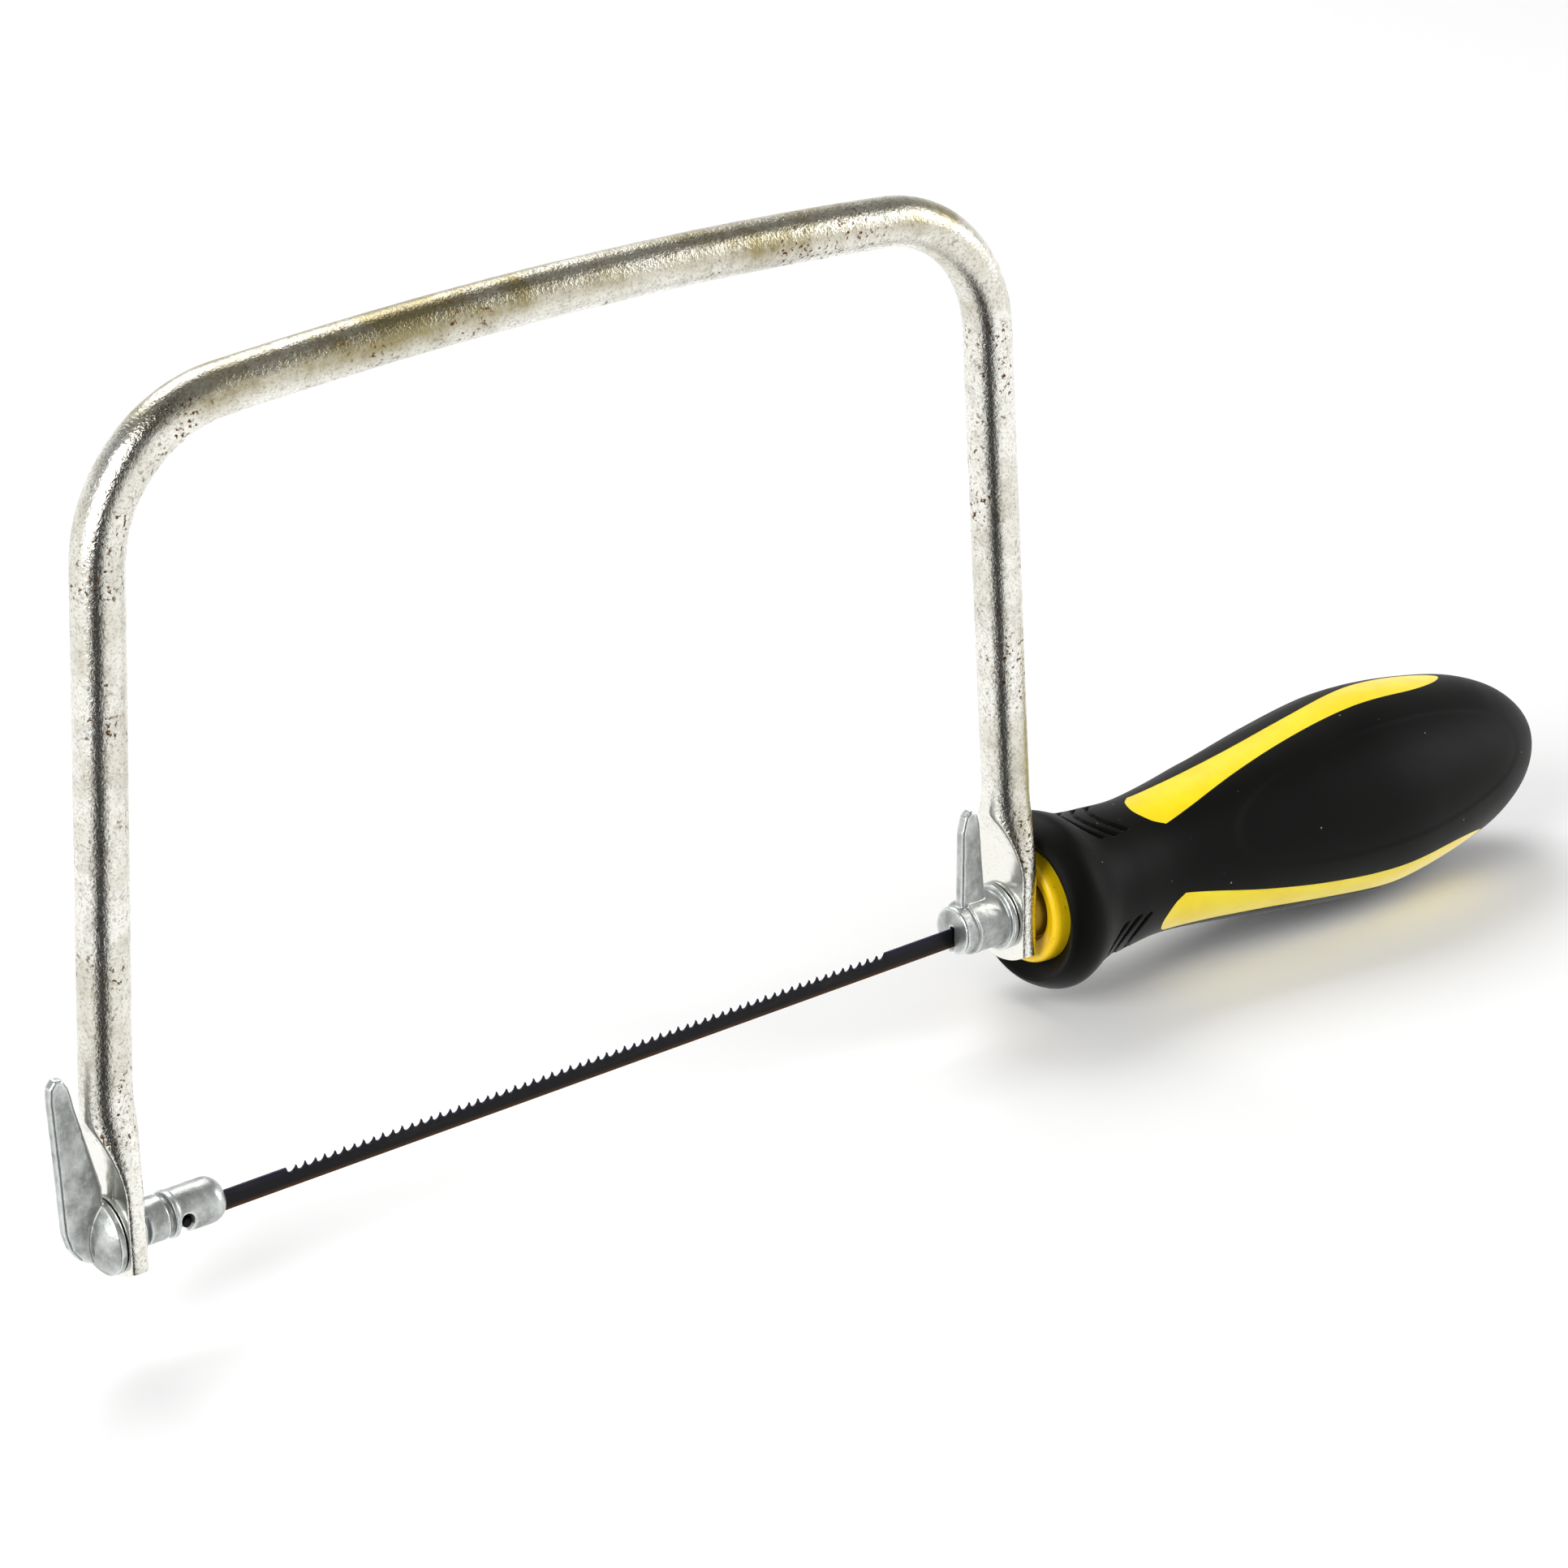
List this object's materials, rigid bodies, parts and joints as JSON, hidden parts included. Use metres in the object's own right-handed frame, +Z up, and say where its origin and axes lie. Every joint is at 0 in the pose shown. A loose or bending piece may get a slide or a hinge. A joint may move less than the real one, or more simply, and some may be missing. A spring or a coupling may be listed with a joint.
{
  "type": "coping saw",
  "caption": "Coping saw with a sprung round-bar bow, a turning toothed blade between two winged holders, and a screw-on two-material handle that tensions it.",
  "frame": {"origin": "on the common axis of the two blade holders, level with the front blade pin", "axes": "+X along the blade from the toe to the handle, +Z up to the top of the bow, +Y across"},
  "size_m": [0.3184, 0.038, 0.1569],
  "materials": {
    "plated_bar": "nickel-plated steel bar, slightly grainy and tarnished",
    "die_cast": "dull die-cast zinc grey",
    "washer_steel": "plain washer",
    "stud_steel": "zinc-plated thread",
    "blade_steel": "blued to near black",
    "yellow_plastic": "smooth yellow moulding",
    "black_rubber": "soft matt overmould",
    "insert_steel": "moulded-in threaded bush"
  },
  "bodies": {
    "frame": {"bow_frame": "plated_bar"},
    "front_holder": {"front_wing_head": "die_cast", "front_post": "die_cast", "front_washer": "washer_steel", "blade": "blade_steel", "front_blade_pin": "blade_steel", "rear_blade_pin": "blade_steel"},
    "stud": {"tension_stud": "stud_steel"},
    "rear_holder": {"rear_holder": "die_cast"},
    "handle": {"handle_core": "yellow_plastic", "handle_grip": "black_rubber", "handle_insert": "insert_steel"}
  },
  "joints": [
    {"name": "blade_angle", "type": "hinge", "parent": "frame", "child": "front_holder", "pos_m": [0, 0, 0], "axis": [1, 0, 0], "continuous": true},
    {"name": "handle_turn", "type": "hinge", "parent": "frame", "child": "handle", "pos_m": [0.2, 0, 0], "axis": [1, 0, 0], "range_deg": [0, 900]},
    {"name": "stud_travel", "type": "slide", "parent": "frame", "child": "stud", "axis": [-1, 0, 0], "range_m": [0, 0.002]},
    {"name": "rear_angle", "type": "hinge", "parent": "stud", "child": "rear_holder", "pos_m": [0.16, 0, 0], "axis": [1, 0, 0], "continuous": true}
  ],
  "couplings": [
    {"joint": "stud_travel", "follows": "handle_turn", "m_per_rad": 0.00012732},
    {"joint": "rear_angle", "follows": "blade_angle", "ratio": 1}
  ]
}
